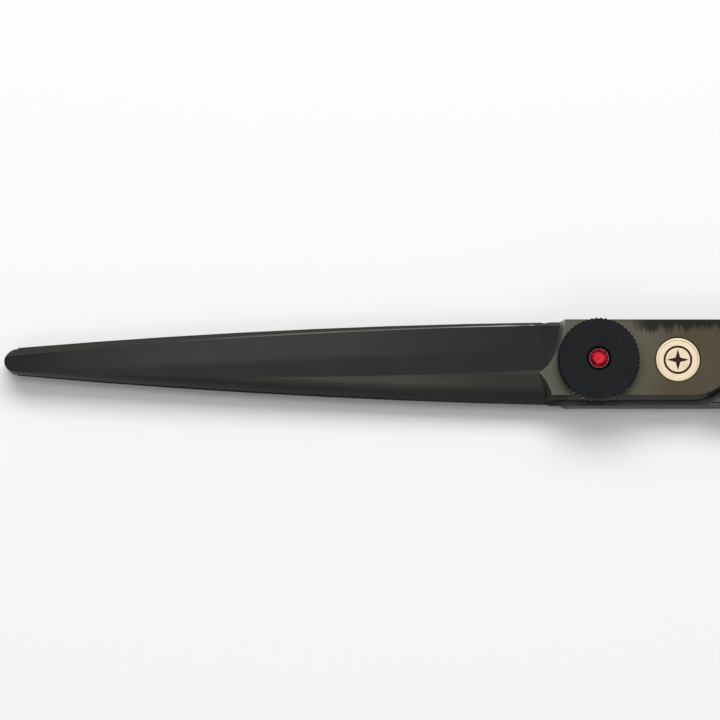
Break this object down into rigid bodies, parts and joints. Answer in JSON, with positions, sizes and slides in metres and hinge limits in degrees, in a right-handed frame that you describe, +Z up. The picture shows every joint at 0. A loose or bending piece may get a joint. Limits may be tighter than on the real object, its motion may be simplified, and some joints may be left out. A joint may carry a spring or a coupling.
{
  "type": "hair cutting shears",
  "caption": "Straight-blade hair cutting shears with offset finger holes, a knurled click dial on the pivot, a red jewel, a round medallion and a curved finger rest.",
  "frame": {"origin": "where the pivot axis meets the surface the shears lie on, at the lower face of the pivot bolt's head", "axes": "+Z up along the pivot axis towards the tension dial, -X along the blades to the points, +X to the handles, +Y to the thumb ring"},
  "size_m": [0.1842, 0.0597, 0.0091],
  "materials": {
    "coated_steel_lower": "dark olive-black ceramic-look coating over satin-ground steel",
    "coated_steel_upper": "dark olive-black ceramic-look coating over satin-ground steel",
    "bolt_steel": "blackened turned steel",
    "pin_steel": "ground steel",
    "glide_plastic": "low-friction white plastic",
    "bush_plastic": "black acetal",
    "race_steel": "hardened and polished",
    "ball_steel": "polished bearing steel",
    "cage_brass": "stamped brass",
    "spring_steel": "blued spring steel",
    "click_steel": "stamped steel",
    "dial_black": "matte black anodised",
    "spring_wire": "spring wire",
    "cup_black": "gloss black anodised",
    "jewel_red": "foil-backed cut red glass",
    "medallion_cream": "pale gold-cream plated, fine satin",
    "emblem_dark": "dark brown enamel",
    "bumper_rubber": "soft black rubber",
    "rest_black": "dark coated steel"
  },
  "bodies": {
    "finger_side": {"finger_half": "coated_steel_lower", "pivot_bolt": "bolt_steel", "bolt_key_pin": "pin_steel", "glide_washer": "glide_plastic", "upper_race": "race_steel", "disc_spring": "spring_steel", "bumper": "bumper_rubber", "finger_rest": "rest_black"},
    "thumb_side": {"thumb_half": "coated_steel_upper", "pivot_bush": "bush_plastic", "lower_race": "race_steel", "medallion": "medallion_cream", "medallion_emblem": "emblem_dark"},
    "bearing": {"bearing_balls": "ball_steel", "bearing_cage": "cage_brass"},
    "click": {"click_plate": "click_steel"},
    "dial_side": {"dial": "dial_black", "detent_balls": "ball_steel", "detent_springs": "spring_wire", "jewel_cup": "cup_black", "jewel": "jewel_red"}
  },
  "joints": [
    {"name": "blade_open", "type": "hinge", "parent": "finger_side", "child": "thumb_side", "pos_m": [0, 0, 0], "axis": [0, 0, 1], "range_deg": [0, 120]},
    {"name": "bearing_turn", "type": "hinge", "parent": "finger_side", "child": "bearing", "pos_m": [0, 0, 0], "axis": [0, 0, 1], "range_deg": [-1, 61]},
    {"name": "dial_advance", "type": "slide", "parent": "finger_side", "child": "click", "axis": [0, 0, 1], "range_m": [-0.000125, 0.00025], "deforming": ["disc_spring"]},
    {"name": "dial_turn", "type": "hinge", "parent": "click", "child": "dial_side", "pos_m": [0, 0, 0], "axis": [0, 0, 1], "range_deg": [-91, 181]}
  ],
  "couplings": [
    {"joint": "bearing_turn", "follows": "blade_open", "ratio": 0.5},
    {"joint": "dial_turn", "follows": "dial_advance", "rad_per_m": 12566}
  ]
}
